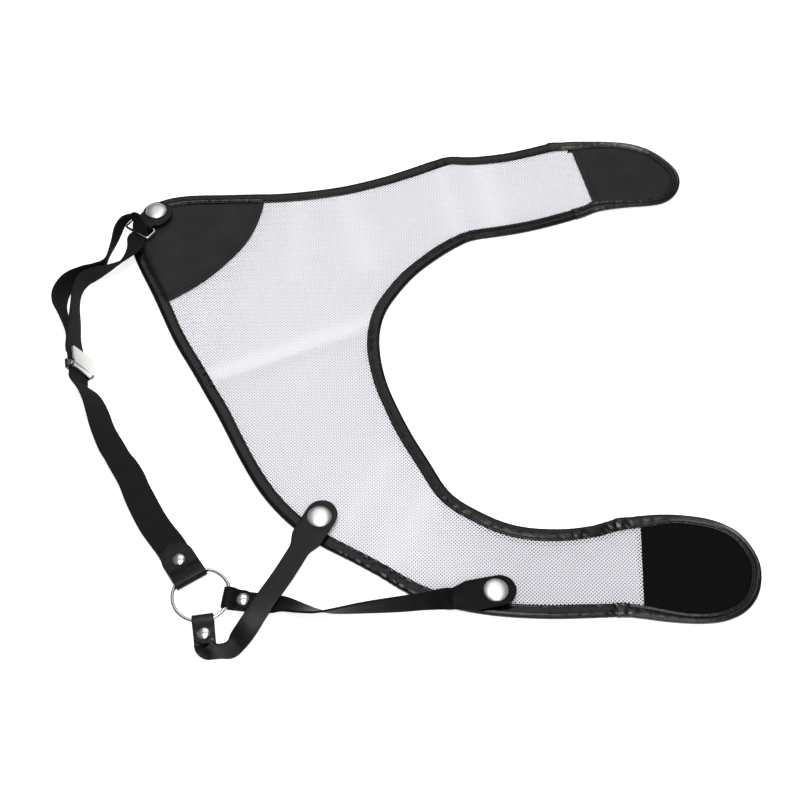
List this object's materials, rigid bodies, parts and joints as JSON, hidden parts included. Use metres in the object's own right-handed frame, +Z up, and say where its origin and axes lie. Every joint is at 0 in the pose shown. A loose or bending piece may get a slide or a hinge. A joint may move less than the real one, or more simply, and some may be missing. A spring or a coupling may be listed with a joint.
{
  "type": "mesh chest guard",
  "caption": "C-shaped mesh chest guard with bound edges, hook-and-loop end tabs and a press-stud strap harness with an O-ring and a cam adjuster, lying flat.",
  "frame": {"origin": "middle of the footprint, on the floor that the guard lies on", "axes": "+Z up, out of the guard's outer face; +X from the harness side to the two end tabs; +Y from the loop tab to the hook tab"},
  "size_m": [0.4524, 0.4226, 0.0232],
  "materials": {
    "white_mesh": "matte open mesh",
    "black_leather": "fine grain, half matte",
    "black_binding": "smooth, half gloss",
    "black_elastic": "ribbed, matte",
    "hook_and_loop": "pile, matte",
    "satin_nickel": "satin nickel plate"
  },
  "bodies": {
    "guard": {"mesh_panel": "white_mesh", "outer_edge_binding": "black_binding", "armhole_binding": "black_binding", "corner_patch": "black_leather", "corner_stud": "satin_nickel", "corner_post": "satin_nickel", "short_strap_stud": "satin_nickel", "short_strap_post": "satin_nickel", "long_strap_stud": "satin_nickel", "long_strap_post": "satin_nickel"},
    "upper_tab": {"upper_tab_leather": "black_leather", "upper_tab_hook_pad": "hook_and_loop", "upper_tab_binding": "black_binding"},
    "lower_tab": {"lower_tab_backing": "black_leather", "lower_tab_loop_pad": "hook_and_loop", "lower_tab_binding": "black_binding"},
    "corner_tab": {"corner_tab": "black_leather", "corner_socket": "satin_nickel", "corner_cap": "satin_nickel"},
    "rect_loop": {"rectangular_loop": "satin_nickel"},
    "harness": {"elastic_strap": "black_elastic", "ring_tab": "black_leather", "short_strap": "black_leather", "long_strap": "black_leather", "ring_tab_rivet_back": "satin_nickel", "ring_tab_rivet_head": "satin_nickel", "short_strap_rivet_back": "satin_nickel", "short_strap_rivet_head": "satin_nickel", "long_strap_rivet_back": "satin_nickel", "long_strap_rivet_head": "satin_nickel", "short_strap_socket": "satin_nickel", "short_strap_cap": "satin_nickel", "long_strap_socket": "satin_nickel", "long_strap_cap": "satin_nickel"},
    "o_ring": {"o_ring": "satin_nickel"},
    "adjuster": {"adjuster_frame": "satin_nickel", "adjuster_pin": "satin_nickel"},
    "adjuster_flap": {"adjuster_flap_plate": "satin_nickel"}
  },
  "joints": [
    {"name": "harness_release", "type": "slide", "parent": "guard", "child": "corner_tab", "axis": [0, 0, 1], "range_m": [0, 0.03]},
    {"name": "loop_pivot", "type": "hinge", "parent": "corner_tab", "child": "rect_loop", "pos_m": [-0.17565, 0.12421, 0.0062], "axis": [-0.829, 0.5592, 0], "range_deg": [0, 60]},
    {"name": "harness_lift", "type": "hinge", "parent": "rect_loop", "child": "harness", "pos_m": [-0.18068, 0.11675, 0.0062], "axis": [-0.829, 0.5592, 0], "range_deg": [0, 10]},
    {"name": "adjuster_slide", "type": "slide", "parent": "harness", "child": "adjuster", "axis": [0.2079, -0.9781, 0], "range_m": [0, 0.0045]},
    {"name": "adjuster_flap", "type": "hinge", "parent": "adjuster", "child": "adjuster_flap", "pos_m": [-0.2021, -0.0089, 0.0121], "axis": [0.4592, 0.0976, -0.8829], "range_deg": [0, 100]},
    {"name": "ring_spin", "type": "hinge", "parent": "harness", "child": "o_ring", "pos_m": [-0.111, -0.1695, 0.0037], "axis": [0, 0, 1], "continuous": true},
    {"name": "upper_tab_fold", "type": "hinge", "parent": "guard", "child": "upper_tab", "pos_m": [0.1417, 0.1757, 0.0043], "axis": [0.2166, -0.9763, 0], "range_deg": [0, 150]},
    {"name": "lower_tab_fold", "type": "hinge", "parent": "guard", "child": "lower_tab", "pos_m": [0.15335, -0.149, 0.0036], "axis": [-0.0501, -0.9987, 0], "range_deg": [0, 150]}
  ]
}
